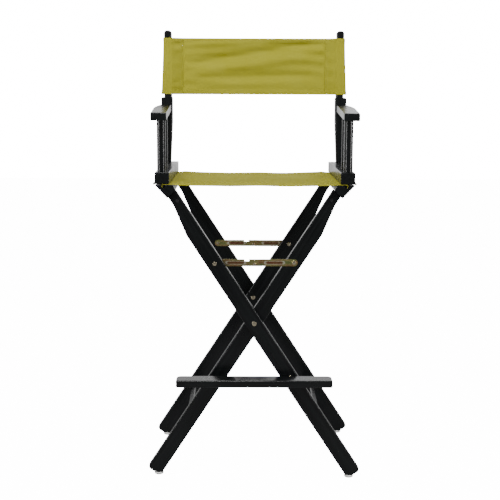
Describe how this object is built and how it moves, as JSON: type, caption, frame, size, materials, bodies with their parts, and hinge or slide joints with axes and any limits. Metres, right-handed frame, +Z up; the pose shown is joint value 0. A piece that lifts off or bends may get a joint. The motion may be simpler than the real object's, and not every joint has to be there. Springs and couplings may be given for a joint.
{
  "type": "director chair",
  "caption": "Tall folding director chair with black lacquered wood legs, arms and footrest, olive canvas seat and sling back, white glides and zinc stays.",
  "frame": {"origin": "on the floor, midway between the left and right and between the front of the footrest and the rear ends of the rails", "axes": "+X to the viewer's right from the front, -Y the front where the footrest is, +Z up"},
  "size_m": [0.5418, 0.452, 1.149],
  "materials": {
    "black_wood": "gloss black lacquer on hardwood",
    "canvas": "olive cotton duck canvas",
    "yellow_zinc": "yellow passivated zinc plate",
    "nickel_steel": "bright plated steel",
    "white_plastic": "moulded white plastic",
    "black_nylon": "black nylon"
  },
  "bodies": {
    "left_frame": {"leg_outer_front": "black_wood", "leg_outer_rear": "black_wood", "seat_rail_left": "black_wood", "stretcher_outer": "black_wood", "glide_outer_front": "white_plastic", "glide_outer_rear": "white_plastic", "barrel_nut_outer_front": "black_nylon", "barrel_nut_outer_rear": "black_nylon", "pivot_rivet_front": "nickel_steel", "pivot_rivet_rear": "nickel_steel", "pivot_washer_front": "black_nylon", "pivot_washer_rear": "black_nylon", "stay_screw_outer_front": "nickel_steel", "footrest_bolt": "nickel_steel", "footrest_nut": "nickel_steel", "hinge_lower_front_left": "yellow_zinc", "hinge_lower_rear_left": "yellow_zinc", "hinge_pin_front_left": "nickel_steel", "hinge_pin_rear_left": "nickel_steel", "seat_dowel_left": "black_wood", "seat_canvas": "canvas"},
    "right_frame": {"leg_inner_front": "black_wood", "leg_inner_rear": "black_wood", "seat_rail_right": "black_wood", "stretcher_inner": "black_wood", "glide_inner_front": "white_plastic", "glide_inner_rear": "white_plastic", "barrel_nut_inner_front": "black_nylon", "barrel_nut_inner_rear": "black_nylon", "stay_screw_inner_rear": "nickel_steel", "footrest_peg": "black_wood", "hinge_lower_front_right": "yellow_zinc", "hinge_lower_rear_right": "yellow_zinc", "hinge_pin_front_right": "nickel_steel", "hinge_pin_rear_right": "nickel_steel", "seat_dowel_right": "black_wood"},
    "arm_left": {"arm_rail_left": "black_wood", "arm_spindle_front_left": "black_wood", "arm_spindle_rear_left": "black_wood", "arm_board_left": "black_wood", "back_post_left": "black_wood", "hinge_upper_front_left": "yellow_zinc", "hinge_upper_rear_left": "yellow_zinc", "back_canvas": "canvas"},
    "arm_right": {"arm_rail_right": "black_wood", "arm_spindle_front_right": "black_wood", "arm_spindle_rear_right": "black_wood", "arm_board_right": "black_wood", "back_post_right": "black_wood", "hinge_upper_front_right": "yellow_zinc", "hinge_upper_rear_right": "yellow_zinc"},
    "stay_front_outer": {"stay_link_outer_front": "yellow_zinc", "stay_rivet_front": "nickel_steel"},
    "stay_front_inner": {"stay_link_inner_front": "yellow_zinc", "stay_screw_inner_front": "nickel_steel"},
    "stay_rear_inner": {"stay_link_inner_rear": "yellow_zinc", "stay_rivet_rear": "nickel_steel"},
    "stay_rear_outer": {"stay_link_outer_rear": "yellow_zinc", "stay_screw_outer_rear": "nickel_steel"},
    "footrest": {"footrest_board": "black_wood"}
  },
  "joints": [
    {"name": "fold", "type": "hinge", "parent": "left_frame", "child": "right_frame", "pos_m": [0, 0, 0.405], "axis": [0, -1, 0], "range_deg": [0, 52], "deforming": ["seat_canvas", "back_canvas"]},
    {"name": "arm_left_hinge", "type": "hinge", "parent": "left_frame", "child": "arm_left", "pos_m": [-0.2508, 0, 0.75775], "axis": [0, -1, 0], "range_deg": [0, 26]},
    {"name": "arm_right_hinge", "type": "hinge", "parent": "right_frame", "child": "arm_right", "pos_m": [0.2508, 0, 0.75775], "axis": [0, 1, 0], "range_deg": [0, 26]},
    {"name": "stay_front_hinge", "type": "hinge", "parent": "left_frame", "child": "stay_front_outer", "pos_m": [-0.09995, -0.153, 0.55829], "axis": [0, -1, 0], "range_deg": [0, 104.93]},
    {"name": "stay_front_knee", "type": "hinge", "parent": "stay_front_outer", "child": "stay_front_inner", "pos_m": [0, -0.153, 0.55479], "axis": [0, 1, 0], "range_deg": [0, 157.85]},
    {"name": "stay_rear_hinge", "type": "hinge", "parent": "right_frame", "child": "stay_rear_inner", "pos_m": [0.09995, 0.195, 0.55829], "axis": [0, 1, 0], "range_deg": [0, 104.93]},
    {"name": "stay_rear_knee", "type": "hinge", "parent": "stay_rear_inner", "child": "stay_rear_outer", "pos_m": [0, 0.195, 0.55479], "axis": [0, -1, 0], "range_deg": [0, 157.85]},
    {"name": "footrest_lift", "type": "hinge", "parent": "left_frame", "child": "footrest", "pos_m": [0.09281, -0.1855, 0.26265], "axis": [0, 1, 0], "range_deg": [0, 57]}
  ],
  "couplings": [
    {"joint": "arm_left_hinge", "follows": "fold", "ratio": 0.5},
    {"joint": "arm_right_hinge", "follows": "fold", "ratio": 0.5},
    {"joint": "stay_front_hinge", "follows": "fold", "ratio": 2.0178},
    {"joint": "stay_front_knee", "follows": "fold", "ratio": 3.0356},
    {"joint": "stay_rear_hinge", "follows": "fold", "ratio": 2.0178},
    {"joint": "stay_rear_knee", "follows": "fold", "ratio": 3.0356}
  ]
}
